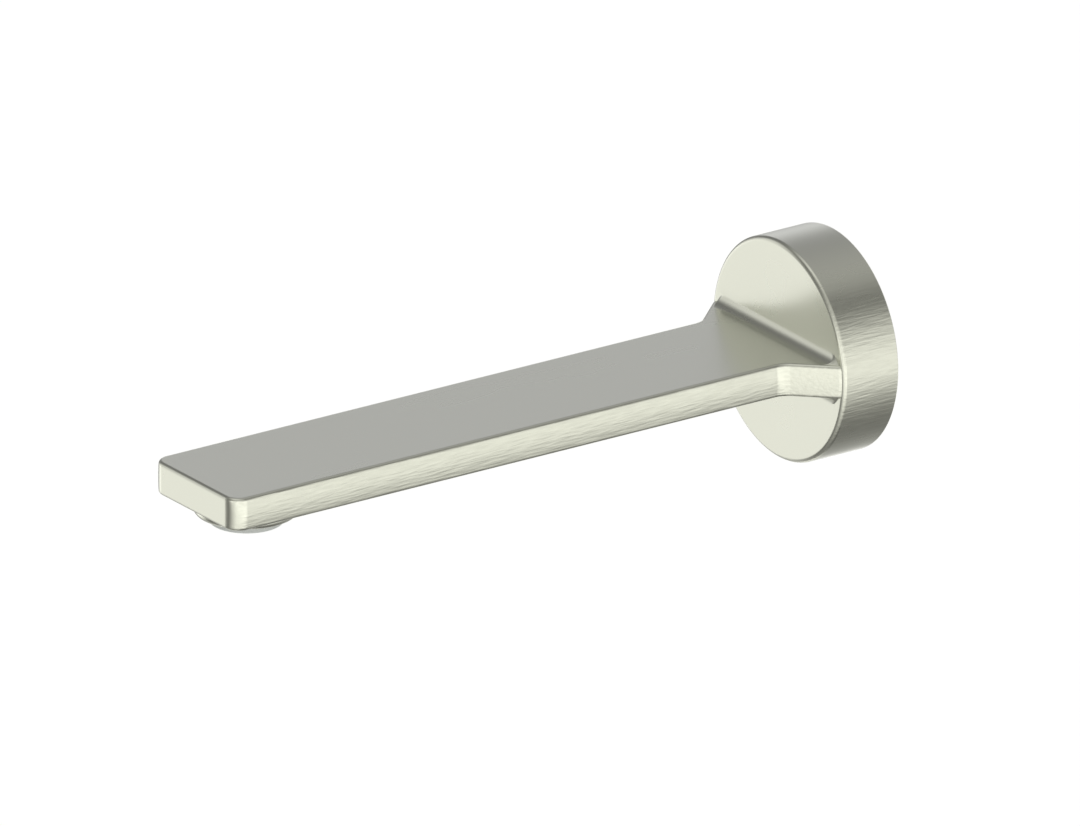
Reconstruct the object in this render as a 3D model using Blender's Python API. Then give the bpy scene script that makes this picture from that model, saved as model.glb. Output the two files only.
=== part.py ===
"""A fixed bath spout for a wall: a flat arm on a round flange, fed through a threaded adaptor in the wall.

Metres, +Z up. The origin is where the spout's axis meets the face of the wall: the arm runs towards -Y
and the adaptor's thread goes into the wall towards +Y.
"""

import math

import bmesh
import bpy
from mathutils import Matrix, Vector

# General
GAP = 0.0003  # left between two pieces that touch
SEAL_GAP = 0.00005  # left round a rubber ring in its groove
OVERRUN = 0.001  # how far a cutter runs past the face that it opens

# Arm
REACH = 0.2205  # wall to the tip of the arm
ARM_HALF_WIDTH = 0.02075
ARM_THICKNESS = 0.0100
TIP_CORNER_RADIUS = 0.005
ARM_EDGE_RADIUS = 0.0011
SIDE_CROWN = 0.00028  # how far the sides bulge half way up
FLARE_START = 0.0315  # wall to where the lines of the straight side and of the flare would cross
FLARE_ANGLE = math.radians(43)  # between the two
FLARE_BEND_RADIUS = 0.0052
ROOT_FILLET = 0.0034

# Flange
FLANGE_RADIUS = 0.033
FLANGE_DEPTH = 0.019
FLANGE_EDGE_RADIUS = 0.0014
FLANGE_BACK_CHAMFER = 0.0003
RIM_WALL = 0.0045
FRONT_WALL = 0.0035
SEAL_GROOVE_INSET = 0.0012  # rim left outside the seal's groove
SEAL_GROOVE_WIDTH = 0.0021
SEAL_GROOVE_DEPTH = 0.0015

# Waterway in the arm
TOP_WALL = 0.0022
SIDE_WALL = 0.00675
PLATE_THICKNESS = 0.0021
PLATE_LEDGE = 0.002
PLATE_FRONT_MARGIN = 0.0025  # arm left between the plate and the outlet
PLATE_BACK_MARGIN = 0.011  # arm left between the plate and the flange
PLATE_CORNER_RADIUS = 0.003

# Socket, adaptor and its seals
SPIGOT_RADIUS = 0.0099
SOCKET_CLEARANCE = 0.0003
SOCKET_WALL = 0.0038
SOCKET_FLOOR = 0.0028
SOCKET_BACK = 0.0034  # wall to the open end of the socket
NECK_STEP = 0.0009
ADAPTOR_BORE_RADIUS = 0.0056
ADAPTOR_KEY_RADIUS = 0.0069  # to the corners of the hexagon
ADAPTOR_KEY_DEPTH = 0.008
THREAD_RADIUS = 0.02095 / 2  # G 1/2
THREAD_LENGTH = 0.013
THREAD_CHAMFER = 0.0009
THREAD_RELIEF_DEPTH = 0.0012
THREAD_RELIEF_LENGTH = 0.0024
SHOULDER_RADIUS = 0.0132
SHOULDER_THICKNESS = 0.0024
WASHER_THICKNESS = 0.0015
ORING_SECTION = 0.0014
ORING_GROOVE_WIDTH = 0.0019
ORING_LAND = 0.0007  # metal left in front of each groove

# Grub screw and its pillar
SCREW_RADIUS = 0.0025
SCREW_HOLE_CLEARANCE = 0.0003
SCREW_WALL = 0.0013  # socket left behind the screw
SCREW_TIP_RADIUS = 0.001
SCREW_TIP_LENGTH = 0.0015
SCREW_KEY_RADIUS = 0.00144  # to the corners of the hexagon
SCREW_KEY_DEPTH = 0.003
SCREW_RECESS = 0.0045
SCREW_SEAT_DEPTH = 0.0005
SCREW_SEAT_HALF_WIDTH = 0.0016
PILLAR_HALF_WIDTH = 0.005
PILLAR_SINK = 0.0012  # how far the pillar runs into the socket and the rim

# Outlet collar
OUTLET_SETBACK = 0.0185  # tip of the arm to the outlet's axis
AERATOR_THREAD_RADIUS = 0.0116
COLLAR_WALL = 0.0015
COLLAR_OVERHANG = 0.00205
COLLAR_DROP = 0.0038
COLLAR_EDGE_RADIUS = 0.0019
COLLAR_LIP_WIDTH = 0.0019
COLLAR_LIP_THICKNESS = 0.0012

# Aerator
HOUSING_RISE = 0.00195  # top of the housing above the arm's underside
HOUSING_DROP = 0.0064  # foot of the housing below the arm's underside
HOUSING_FOOT_RADIUS = 0.0108
HOUSING_FOOT_EDGE = 0.0006
HOUSING_LIP_WIDTH = 0.0009
HOUSING_LIP_THICKNESS = 0.00085
KEY_NOTCHES = 8
KEY_NOTCH_WIDTH = 0.0016
KEY_NOTCH_DEPTH = 0.0007
GASKET_THICKNESS = 0.0014
GASKET_WIDTH = 0.0014
GRILLE_THICKNESS = 0.0009
SCREEN_THICKNESS = 0.00035
SLEEVE_HEIGHT = 0.0017
SLEEVE_WALL = 0.0007
JET_PLATE_THICKNESS = 0.001
STRAINER_RIM = 0.0009
STRAINER_WALL = 0.0008
STRAINER_HEADROOM = 0.0009  # left above the dome
DISC_RIM = 0.0012
GRID_BAR = 0.0006
GRID_CELLS = 5
JET_HOLES = 12
JET_HOLE_RADIUS = 0.0005
SPREADER_SPOKES = 4
SPREADER_RIM = 0.001
SPREADER_HUB_RADIUS = 0.0026
SPREADER_SPOKE_WIDTH = 0.0009

# Facets
FLANGE_STEPS = 56
RING_STEPS = 40
SMALL_STEPS = 24
CORNER_STEPS = 5

# Worked out from the above
UNDERSIDE = -ARM_THICKNESS / 2
TIP_Y = -REACH
FLANGE_FRONT = -FLANGE_DEPTH
SOCKET_RADIUS = SPIGOT_RADIUS + SOCKET_CLEARANCE
SOCKET_OUTER = SOCKET_RADIUS + SOCKET_WALL
SOCKET_END = FLANGE_FRONT + SOCKET_FLOOR
CUP_RADIUS = FLANGE_RADIUS - RIM_WALL
CUP_END = FLANGE_FRONT + FRONT_WALL
OUTLET_Y = TIP_Y + OUTLET_SETBACK
CHANNEL_HALF_WIDTH = ARM_HALF_WIDTH - SIDE_WALL
CHANNEL_TOP = ARM_THICKNESS / 2 - TOP_WALL
CHANNEL_FLOOR = UNDERSIDE + PLATE_THICKNESS + GAP
COLLAR_RADIUS = AERATOR_THREAD_RADIUS + GAP / 2 + COLLAR_WALL
OUTLET_HOLE_RADIUS = COLLAR_RADIUS + GAP
CHAMBER_TOP = CHANNEL_TOP - GAP
HOUSING_TOP = UNDERSIDE + HOUSING_RISE
GASKET_BOTTOM = HOUSING_TOP + GAP
SEAT_Z = GASKET_BOTTOM + GASKET_THICKNESS + GAP
COLLAR_TOP = SEAT_Z + COLLAR_LIP_THICKNESS
HOUSING_FOOT = UNDERSIDE - HOUSING_DROP
HOUSING_BORE = HOUSING_FOOT_RADIUS - HOUSING_LIP_WIDTH
DISC_RADIUS = HOUSING_BORE - GAP
GRILLE_BOTTOM = HOUSING_FOOT + HOUSING_LIP_THICKNESS + GAP
LOWER_SCREEN_BOTTOM = GRILLE_BOTTOM + GRILLE_THICKNESS + GAP
UPPER_SCREEN_BOTTOM = LOWER_SCREEN_BOTTOM + SCREEN_THICKNESS + GAP
SLEEVE_BOTTOM = UPPER_SCREEN_BOTTOM + SCREEN_THICKNESS + GAP
JET_PLATE_BOTTOM = SLEEVE_BOTTOM + SLEEVE_HEIGHT + GAP
STRAINER_BOTTOM = JET_PLATE_BOTTOM + JET_PLATE_THICKNESS + GAP
SCREW_Y = -(SOCKET_BACK + SCREW_WALL + SCREW_RADIUS)
SCREW_TIP = -(SPIGOT_RADIUS - SCREW_SEAT_DEPTH + GAP)
SCREW_END = -(FLANGE_RADIUS - SCREW_RECESS)
SPIGOT_END = SOCKET_END + GAP
ORING_PITCH = ORING_GROOVE_WIDTH + ORING_LAND
FRONT_ORING_Y = SPIGOT_END + ORING_LAND + ORING_GROOVE_WIDTH / 2
REAR_ORING_Y = FRONT_ORING_Y + ORING_PITCH
ORING_RADIUS = SOCKET_RADIUS - SEAL_GAP - ORING_SECTION / 2
ORING_GROOVE_RADIUS = ORING_RADIUS - ORING_SECTION / 2 - SEAL_GAP

# Finishes: colour, metallic, roughness
NICKEL = ("brushed_nickel", (0.52, 0.51, 0.46), 1.0, 0.32)
BRASS = ("brass", (0.70, 0.52, 0.24), 1.0, 0.30)
RUBBER = ("black_rubber", (0.03, 0.03, 0.03), 0.0, 0.70)
FIBRE = ("red_fibre", (0.35, 0.07, 0.05), 0.0, 0.80)
GREY_PLASTIC = ("grey_plastic", (0.62, 0.64, 0.63), 0.0, 0.45)
WHITE_PLASTIC = ("white_plastic", (0.78, 0.78, 0.76), 0.0, 0.45)
STAINLESS = ("stainless_wire", (0.62, 0.62, 0.61), 1.0, 0.35)
STEEL = ("screw_steel", (0.40, 0.40, 0.41), 1.0, 0.40)

ALONG_Y = Matrix.Rotation(-math.pi / 2, 4, "X")  # a turned profile's +Z becomes +Y
DOWN_AXIS = Matrix.Rotation(math.pi, 4, "X")  # a turned profile's +Z becomes -Z


def clear_scene():
    for item in list(bpy.data.objects):
        bpy.data.objects.remove(item)


def finish(finish_values):
    """The material of that name, made the first time that it is asked for."""
    name, colour, metallic, roughness = finish_values
    material = bpy.data.materials.get(name)
    if material is None:
        material = bpy.data.materials.new(name)
        material.use_nodes = True
        shader = material.node_tree.nodes["Principled BSDF"]
        shader.inputs["Base Color"].default_value = (*colour, 1)
        shader.inputs["Metallic"].default_value = metallic
        shader.inputs["Roughness"].default_value = roughness
    return material


def add_object(name, bm, finish_values, matrix=None):
    """Puts a bmesh in the scene as a named object, with its faces pointing out."""
    bmesh.ops.remove_doubles(bm, verts=bm.verts, dist=1e-7)
    bmesh.ops.recalc_face_normals(bm, faces=bm.faces)
    mesh = bpy.data.meshes.new(name)
    bm.to_mesh(mesh)
    bm.free()
    mesh.shade_smooth()
    mesh.set_sharp_from_angle(angle=math.radians(35))
    item = bpy.data.objects.new(name, mesh)
    if finish_values:
        mesh.materials.append(finish(finish_values))
    else:
        item.hide_render = True
        item.display_type = "WIRE"
    bpy.context.scene.collection.objects.link(item)
    item.matrix_world = matrix or Matrix()
    return item


def turn(profile, steps):
    """Spins a closed outline of (radius, height) points round Z, as a lathe would leave it."""
    bm = bmesh.new()
    points = [bm.verts.new((radius, 0, height)) for radius, height in profile]
    edges = [bm.edges.new(pair) for pair in zip(points, points[1:] + points[:1])]
    bmesh.ops.spin(
        bm,
        geom=points + edges,
        cent=(0, 0, 0),
        axis=(0, 0, 1),
        angle=math.tau,
        steps=steps,
        use_merge=True,
    )
    bmesh.ops.remove_doubles(bm, verts=bm.verts, dist=1e-7)
    on_axis = [e for e in bm.edges if all(v.co.xy.length < 1e-8 for v in e.verts)]
    bmesh.ops.delete(bm, geom=on_axis, context="EDGES")
    return bm


def turned(name, profile, finish_values, steps=RING_STEPS, matrix=None):
    return add_object(name, turn(profile, steps), finish_values, matrix)


def block(low, high):
    bm = bmesh.new()
    bmesh.ops.create_cube(bm, size=1)
    low, high = Vector(low), Vector(high)
    bmesh.ops.transform(
        bm,
        verts=bm.verts,
        matrix=Matrix.Translation((low + high) / 2) @ Matrix.Diagonal((*(high - low), 1)),
    )
    return bm


def rod(radius, low, high, steps=SMALL_STEPS, matrix=None):
    """A straight cylinder from one height to another on Z, then moved by the matrix."""
    bm = bmesh.new()
    bmesh.ops.create_cone(
        bm,
        cap_ends=True,
        segments=steps,
        radius1=radius,
        radius2=radius,
        depth=high - low,
        matrix=(matrix or Matrix()) @ Matrix.Translation((0, 0, (low + high) / 2)),
    )
    return bm


def combine(item, operation, others):
    """Joins or cuts an object with hidden helpers, one Boolean each."""
    for helper in others:
        modifier = item.modifiers.new(f"{operation.lower()} {helper.name}", "BOOLEAN")
        modifier.operation = operation
        modifier.solver = "EXACT"
        modifier.object = helper


def arc(centre_x, centre_y, radius, start, end, steps=CORNER_STEPS):
    """Points on an arc, from one angle to another in degrees, both ends included."""
    points = []
    for step in range(steps + 1):
        angle = math.radians(start + (end - start) * step / steps)
        points.append((centre_x + radius * math.cos(angle), centre_y + radius * math.sin(angle)))
    return points


def flare_side(y, inset):
    """How far out the flare's side is at that y, drawn in by the inset square to itself."""
    return ARM_HALF_WIDTH + (y + FLARE_START) * math.tan(FLARE_ANGLE) - inset / math.cos(FLARE_ANGLE)


def arm_outline(inset):
    """Half of the arm seen from above, from its tip to inside the flange, drawn in by the inset."""
    tip_corner = (ARM_HALF_WIDTH - TIP_CORNER_RADIUS, TIP_Y + TIP_CORNER_RADIUS)
    bend_centre = (
        ARM_HALF_WIDTH + FLARE_BEND_RADIUS,
        -FLARE_START - FLARE_BEND_RADIUS * math.tan(FLARE_ANGLE / 2),
    )
    end_y = FLANGE_FRONT + FLANGE_EDGE_RADIUS
    end_x = min(flare_side(end_y, inset), FLANGE_RADIUS - FLANGE_EDGE_RADIUS - inset)
    flare_end = end_y - (flare_side(end_y, inset) - end_x) / math.tan(FLARE_ANGLE)
    half = arc(*tip_corner, TIP_CORNER_RADIUS - inset, -90, 0)
    half += arc(*bend_centre, FLARE_BEND_RADIUS + inset, 180, 180 - math.degrees(FLARE_ANGLE))
    half += [(end_x, min(flare_end, end_y - OVERRUN / 10)), (end_x, end_y)]
    return half


def arm_levels():
    """(height, inset) up one side of the arm: the lower edge's round, the crowned side, the upper round."""
    side = ARM_THICKNESS / 2 - ARM_EDGE_RADIUS
    levels = []
    for step in range(3):
        angle = math.radians(90 * step / 3)
        inset = SIDE_CROWN + ARM_EDGE_RADIUS * (1 - math.sin(angle))
        levels.append((-side - ARM_EDGE_RADIUS * math.cos(angle), inset))
    for height in (-side, -side / 2, 0):
        levels.append((height, SIDE_CROWN * (height / side) ** 2))
    return levels + [(-height, inset) for height, inset in reversed(levels[:-1])]


def loft(rings):
    """A closed solid through rings of points, each with as many points as the next."""
    bm = bmesh.new()
    loops = []
    for ring in rings:
        points = [bm.verts.new(point) for point in ring]
        loops.append([bm.edges.new(pair) for pair in zip(points, points[1:] + points[:1])])
    for lower, upper in zip(loops, loops[1:]):
        bmesh.ops.bridge_loops(bm, edges=lower + upper)
    for loop in (loops[0], loops[-1]):
        bmesh.ops.edgeloop_fill(bm, edges=loop)
    return bm


def arm_bar():
    """The flat arm with its flare, as far as the inside of the flange."""
    rings = []
    for height, inset in arm_levels():
        half = arm_outline(inset)
        ring = [(x, y, height) for x, y in half] + [(-x, y, height) for x, y in reversed(half)]
        rings.append(ring)
    return loft(rings)


def root_fillet():
    """The hollow round where the arm's top and underside run into the flange's front."""
    centre_y = FLANGE_FRONT - ROOT_FILLET
    edge = SIDE_CROWN + ARM_EDGE_RADIUS
    flat_radius = FLANGE_RADIUS - FLANGE_EDGE_RADIUS
    stations = [(centre_y - OVERRUN / 4, -GAP / 10)]
    for step in range(7):
        angle = math.radians(90 * step / 6)
        rise = ROOT_FILLET * (1 - math.cos(angle))
        stations.append((centre_y + ROOT_FILLET * math.sin(angle), rise))
    stations.append((FLANGE_FRONT + FLANGE_EDGE_RADIUS, ROOT_FILLET))
    rings = []
    for y, rise in stations:
        top = ARM_THICKNESS / 2 + rise
        side = min(flare_side(y, edge), math.sqrt(flat_radius**2 - top**2) - GAP / 2)
        rings.append([(-side, y, -top), (side, y, -top), (side, y, top), (-side, y, top)])
    return loft(rings)


def flange_profile():
    """(radius, height) round the flange's wall: height is along Y."""
    groove_outer = FLANGE_RADIUS - SEAL_GROOVE_INSET
    groove_inner = groove_outer - SEAL_GROOVE_WIDTH
    edge_centre = (FLANGE_RADIUS - FLANGE_EDGE_RADIUS, FLANGE_FRONT + FLANGE_EDGE_RADIUS)
    return [
        (0, FLANGE_FRONT),
        *arc(*edge_centre, FLANGE_EDGE_RADIUS, -90, 0, 4),
        (FLANGE_RADIUS, -FLANGE_BACK_CHAMFER),
        (FLANGE_RADIUS - FLANGE_BACK_CHAMFER, 0),
        (groove_outer, 0),
        (groove_outer, -SEAL_GROOVE_DEPTH),
        (groove_inner, -SEAL_GROOVE_DEPTH),
        (groove_inner, 0),
        (CUP_RADIUS, 0),
        (CUP_RADIUS, CUP_END),
        (SOCKET_OUTER, CUP_END),
        (SOCKET_OUTER, -SOCKET_BACK),
        (SOCKET_RADIUS, -SOCKET_BACK),
        (SOCKET_RADIUS, SOCKET_END),
        (0, SOCKET_END),
    ]


def plate_span():
    """The plate's ends along Y: (towards the tip, towards the wall)."""
    return (
        OUTLET_Y + OUTLET_HOLE_RADIUS + PLATE_FRONT_MARGIN,
        FLANGE_FRONT - PLATE_BACK_MARGIN,
    )


def plate_outline(bottom, top, clearance):
    """The plate's own shape, or with a negative clearance the rebate that it lies in."""
    front, back = plate_span()
    side = CHANNEL_HALF_WIDTH + PLATE_LEDGE - clearance
    radius = PLATE_CORNER_RADIUS
    half = arc(side - radius, front + clearance + radius, radius, -90, 0)
    half += arc(side - radius, back - clearance - radius, radius, 0, 90)
    ring = half + [(-x, y) for x, y in reversed(half)]
    return loft([[(x, y, height) for x, y in ring] for height in (bottom, top)])


def spout_body():
    """The cast brass arm, flange and socket, with its waterway."""
    body = turned("spout_body", flange_profile(), NICKEL, FLANGE_STEPS, ALONG_Y)
    pillar_top = -(SOCKET_OUTER - PILLAR_SINK)
    pillar_foot = -(CUP_RADIUS + PILLAR_SINK)
    pillar = block(
        (-PILLAR_HALF_WIDTH, CUP_END - PILLAR_SINK, pillar_foot),
        (PILLAR_HALF_WIDTH, -SOCKET_BACK - GAP, pillar_top),
    )
    combine(
        body,
        "UNION",
        [
            add_object("arm_bar", arm_bar(), None),
            add_object("root_fillet", root_fillet(), None),
            add_object("screw_pillar", pillar, None),
        ],
    )
    neck_half_width = SPIGOT_RADIUS - NECK_STEP
    channel_back = FLANGE_FRONT - OVERRUN
    neck = block(
        (-neck_half_width, channel_back - OVERRUN, CHANNEL_FLOOR + GAP),
        (neck_half_width, SOCKET_END + OVERRUN, CHANNEL_TOP - GAP),
    )
    channel = block(
        (-CHANNEL_HALF_WIDTH, OUTLET_Y, CHANNEL_FLOOR),
        (CHANNEL_HALF_WIDTH, channel_back, CHANNEL_TOP),
    )
    rebate = plate_outline(UNDERSIDE - OVERRUN, CHANNEL_FLOOR + GAP, -GAP)
    outlet = rod(
        OUTLET_HOLE_RADIUS,
        UNDERSIDE - OVERRUN,
        CHAMBER_TOP,
        RING_STEPS,
        Matrix.Translation((0, OUTLET_Y, 0)),
    )
    screw_hole = rod(
        SCREW_RADIUS + SCREW_HOLE_CLEARANCE,
        -FLANGE_RADIUS - OVERRUN,
        -SOCKET_RADIUS + OVERRUN,
        SMALL_STEPS,
        Matrix.Translation((0, SCREW_Y, 0)),
    )
    combine(
        body,
        "DIFFERENCE",
        [
            add_object("neck_cut", neck, None),
            add_object("channel_cut", channel, None),
            add_object("rebate_cut", rebate, None),
            add_object("outlet_cut", outlet, None),
            add_object("screw_hole_cut", screw_hole, None),
        ],
    )


def waterway_plate():
    """The plate brazed into the arm's underside, which closes the waterway."""
    plate = plate_outline(UNDERSIDE, UNDERSIDE + PLATE_THICKNESS, 0)
    add_object("waterway_plate", plate, NICKEL)


def flange_seal():
    """The rubber ring in the back of the rim, flush with the wall."""
    outer = FLANGE_RADIUS - SEAL_GROOVE_INSET - GAP
    inner = outer + 2 * GAP - SEAL_GROOVE_WIDTH
    front = -SEAL_GROOVE_DEPTH + GAP
    profile = [(inner, front), (outer, front), (outer, 0), (inner, 0)]
    turned("flange_seal", profile, RUBBER, RING_STEPS, ALONG_Y)


def groove(centre, half_width, radius):
    """A square groove's four points on a shaft, from its wall end to its free end."""
    back, front = centre + half_width, centre - half_width
    return [(SPIGOT_RADIUS, back), (radius, back), (radius, front), (SPIGOT_RADIUS, front)]


def inlet_adaptor():
    """The turned brass adaptor: a thread for the wall, a shoulder, and a spigot for the socket."""
    relief = THREAD_RADIUS - THREAD_RELIEF_DEPTH
    half_groove = ORING_GROOVE_WIDTH / 2
    profile = [
        (ADAPTOR_BORE_RADIUS, THREAD_LENGTH),
        (THREAD_RADIUS - THREAD_CHAMFER, THREAD_LENGTH),
        (THREAD_RADIUS, THREAD_LENGTH - THREAD_CHAMFER),
        (THREAD_RADIUS, THREAD_RELIEF_LENGTH),
        (relief, THREAD_RELIEF_LENGTH),
        (relief, 0),
        (SHOULDER_RADIUS, 0),
        (SHOULDER_RADIUS, -SHOULDER_THICKNESS),
        (SPIGOT_RADIUS, -SHOULDER_THICKNESS),
        *groove(SCREW_Y, SCREW_SEAT_HALF_WIDTH, SPIGOT_RADIUS - SCREW_SEAT_DEPTH),
        *groove(REAR_ORING_Y, half_groove, ORING_GROOVE_RADIUS),
        *groove(FRONT_ORING_Y, half_groove, ORING_GROOVE_RADIUS),
        (SPIGOT_RADIUS, SPIGOT_END),
        (ADAPTOR_BORE_RADIUS, SPIGOT_END),
    ]
    adaptor = turned("inlet_adaptor", profile[::-1], BRASS, RING_STEPS, ALONG_Y)
    key = rod(
        ADAPTOR_KEY_RADIUS,
        SPIGOT_END - OVERRUN,
        SPIGOT_END + ADAPTOR_KEY_DEPTH,
        6,
        ALONG_Y,
    )
    combine(adaptor, "DIFFERENCE", [add_object("adaptor_key_cut", key, None)])


def thread_washer():
    """The fibre washer behind the adaptor's shoulder."""
    inner = THREAD_RADIUS + GAP
    back = GAP + WASHER_THICKNESS
    profile = [(inner, GAP), (SHOULDER_RADIUS, GAP), (SHOULDER_RADIUS, back), (inner, back)]
    turned("thread_washer", profile, FIBRE, RING_STEPS, ALONG_Y)


def oring(name, along):
    """A rubber ring squeezed between its groove and the socket."""
    ring = arc(ORING_RADIUS, along, ORING_SECTION / 2, 0, 360, 10)[:-1]
    turned(name, ring, RUBBER, RING_STEPS, ALONG_Y)


def grub_screw():
    """The headless screw that holds the spout on its adaptor, with a hexagon socket in its foot."""
    length = SCREW_TIP - SCREW_END
    profile = [
        (0, 0),
        (SCREW_TIP_RADIUS, 0),
        (SCREW_RADIUS, SCREW_TIP_LENGTH),
        (SCREW_RADIUS, length),
        (0, length),
    ]
    place = Matrix.Translation((0, SCREW_Y, SCREW_TIP)) @ DOWN_AXIS
    screw = turned("grub_screw", profile, STEEL, SMALL_STEPS, place)
    key = rod(SCREW_KEY_RADIUS, length - SCREW_KEY_DEPTH, length + OVERRUN, 6, place)
    combine(screw, "DIFFERENCE", [add_object("screw_key_cut", key, None)])


def at_outlet(name, profile, finish_values, steps=RING_STEPS):
    """A turned piece on the outlet's axis. Its heights are the object's own."""
    place = Matrix.Translation((0, OUTLET_Y, 0))
    return turned(name, profile, finish_values, steps, place)


def outlet_collar():
    """The threaded bush brazed into the arm's underside, which gives the aerator its depth."""
    bore = AERATOR_THREAD_RADIUS + GAP / 2
    rim = COLLAR_RADIUS + COLLAR_OVERHANG
    foot = UNDERSIDE - COLLAR_DROP
    edge_centre = (rim - COLLAR_EDGE_RADIUS, foot + COLLAR_EDGE_RADIUS)
    profile = [
        (bore, foot),
        *arc(*edge_centre, COLLAR_EDGE_RADIUS, -90, 0, 4),
        (rim, UNDERSIDE - GAP),
        (COLLAR_RADIUS, UNDERSIDE - GAP),
        (COLLAR_RADIUS, COLLAR_TOP),
        (bore - COLLAR_LIP_WIDTH, COLLAR_TOP),
        (bore - COLLAR_LIP_WIDTH, SEAT_Z),
        (bore, SEAT_Z),
    ]
    at_outlet("outlet_collar", profile, NICKEL)


def aerator_gasket():
    """The flat rubber ring that the housing is tightened against."""
    outer = AERATOR_THREAD_RADIUS - GAP / 2
    inner = outer - GASKET_WIDTH
    top = GASKET_BOTTOM + GASKET_THICKNESS
    profile = [(inner, GASKET_BOTTOM), (outer, GASKET_BOTTOM), (outer, top), (inner, top)]
    at_outlet("aerator_gasket", profile, RUBBER)


def aerator_housing():
    """The threaded plastic housing, with notches in its foot for the aerator's key."""
    thread = AERATOR_THREAD_RADIUS - GAP / 2
    thread_foot = UNDERSIDE - COLLAR_DROP + GAP
    lip = HOUSING_BORE - HOUSING_LIP_WIDTH
    lip_top = HOUSING_FOOT + HOUSING_LIP_THICKNESS
    edge_centre = (HOUSING_FOOT_RADIUS - HOUSING_FOOT_EDGE, HOUSING_FOOT + HOUSING_FOOT_EDGE)
    profile = [
        (lip, HOUSING_FOOT),
        *arc(*edge_centre, HOUSING_FOOT_EDGE, -90, 0, 2),
        (HOUSING_FOOT_RADIUS, thread_foot),
        (thread, thread_foot),
        (thread, HOUSING_TOP),
        (HOUSING_BORE, HOUSING_TOP),
        (HOUSING_BORE, lip_top),
        (lip, lip_top),
    ]
    housing = at_outlet("aerator_housing", profile, GREY_PLASTIC)
    notches = bmesh.new()
    for index in range(KEY_NOTCHES):
        angle = math.tau * (index + 0.5) / KEY_NOTCHES
        place = Matrix.Translation((0, OUTLET_Y, HOUSING_FOOT)) @ Matrix.Rotation(angle, 4, "Z")
        reach = HOUSING_FOOT_RADIUS - HOUSING_FOOT_EDGE - lip + OVERRUN
        size = Matrix.Diagonal((reach, KEY_NOTCH_WIDTH, 2 * KEY_NOTCH_DEPTH, 1))
        middle = Matrix.Translation((lip - OVERRUN + reach / 2, 0, 0))
        bmesh.ops.create_cube(notches, size=1, matrix=place @ middle @ size)
    combine(housing, "DIFFERENCE", [add_object("notch_cut", notches, None)])


def grid_disc(name, bottom, thickness, finish_values):
    """A round disc with square openings, as a screen or a grille."""
    top = bottom + thickness
    disc = at_outlet(name, [(0, bottom), (DISC_RADIUS, bottom), (DISC_RADIUS, top), (0, top)], finish_values)
    open_radius = DISC_RADIUS - DISC_RIM
    pitch = 2 * open_radius / GRID_CELLS
    cell = pitch - GRID_BAR
    cuts = bmesh.new()
    for column in range(GRID_CELLS):
        for row in range(GRID_CELLS):
            x = (column - (GRID_CELLS - 1) / 2) * pitch
            y = (row - (GRID_CELLS - 1) / 2) * pitch
            if math.hypot(abs(x) + cell / 2, abs(y) + cell / 2) > open_radius:
                continue
            place = Matrix.Translation((x, OUTLET_Y + y, (bottom + top) / 2))
            size = Matrix.Diagonal((cell, cell, thickness + 2 * OVERRUN, 1))
            bmesh.ops.create_cube(cuts, size=1, matrix=place @ size)
    combine(disc, "DIFFERENCE", [add_object(name + "_cut", cuts, None)])


def mixing_sleeve():
    """The plastic ring that holds the jet plate off the screens."""
    inner = DISC_RADIUS - SLEEVE_WALL
    top = SLEEVE_BOTTOM + SLEEVE_HEIGHT
    profile = [(inner, SLEEVE_BOTTOM), (DISC_RADIUS, SLEEVE_BOTTOM), (DISC_RADIUS, top), (inner, top)]
    at_outlet("mixing_sleeve", profile, WHITE_PLASTIC)


def flow_spreader():
    """The spoked wheel inside the sleeve, whose cone throws the jets outwards."""
    outer = DISC_RADIUS - SLEEVE_WALL - GAP
    inner = outer - SPREADER_RIM
    bottom = SLEEVE_BOTTOM
    top = SLEEVE_BOTTOM + SLEEVE_HEIGHT - GAP
    ring = at_outlet(
        "flow_spreader",
        [(inner, bottom), (outer, bottom), (outer, top), (inner, top)],
        WHITE_PLASTIC,
    )
    hub = turn([(0, bottom), (SPREADER_HUB_RADIUS, bottom), (0, top)], SMALL_STEPS)
    spoke_top = bottom + (top - bottom) / 2
    parts = [add_object("spreader_hub", hub, None, Matrix.Translation((0, OUTLET_Y, 0)))]
    for index in range(SPREADER_SPOKES):
        place = Matrix.Translation((0, OUTLET_Y, 0)) @ Matrix.Rotation(
            math.tau * index / SPREADER_SPOKES, 4, "Z"
        )
        spoke = block(
            (SPREADER_HUB_RADIUS / 3, -SPREADER_SPOKE_WIDTH / 2, bottom + GAP / 3),
            (inner + SPREADER_RIM / 2, SPREADER_SPOKE_WIDTH / 2, spoke_top),
        )
        parts.append(add_object(f"spreader_spoke_{index}", spoke, None, place))
    combine(ring, "UNION", parts)


def jet_plate():
    """The plate whose ring of small holes makes the jets."""
    bottom, top = JET_PLATE_BOTTOM, JET_PLATE_BOTTOM + JET_PLATE_THICKNESS
    plate = at_outlet(
        "jet_plate",
        [(0, bottom), (DISC_RADIUS, bottom), (DISC_RADIUS, top), (0, top)],
        WHITE_PLASTIC,
    )
    holes = bmesh.new()
    ring_radius = DISC_RADIUS - 2 * DISC_RIM
    for index in range(JET_HOLES):
        angle = math.tau * (index + 0.5) / JET_HOLES
        place = Matrix.Translation(
            (ring_radius * math.cos(angle), OUTLET_Y + ring_radius * math.sin(angle), (bottom + top) / 2)
        )
        bmesh.ops.create_cone(
            holes,
            cap_ends=True,
            segments=8,
            radius1=JET_HOLE_RADIUS,
            radius2=JET_HOLE_RADIUS,
            depth=top - bottom + 2 * OVERRUN,
            matrix=place,
        )
    combine(plate, "DIFFERENCE", [add_object("jet_hole_cut", holes, None)])


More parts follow.
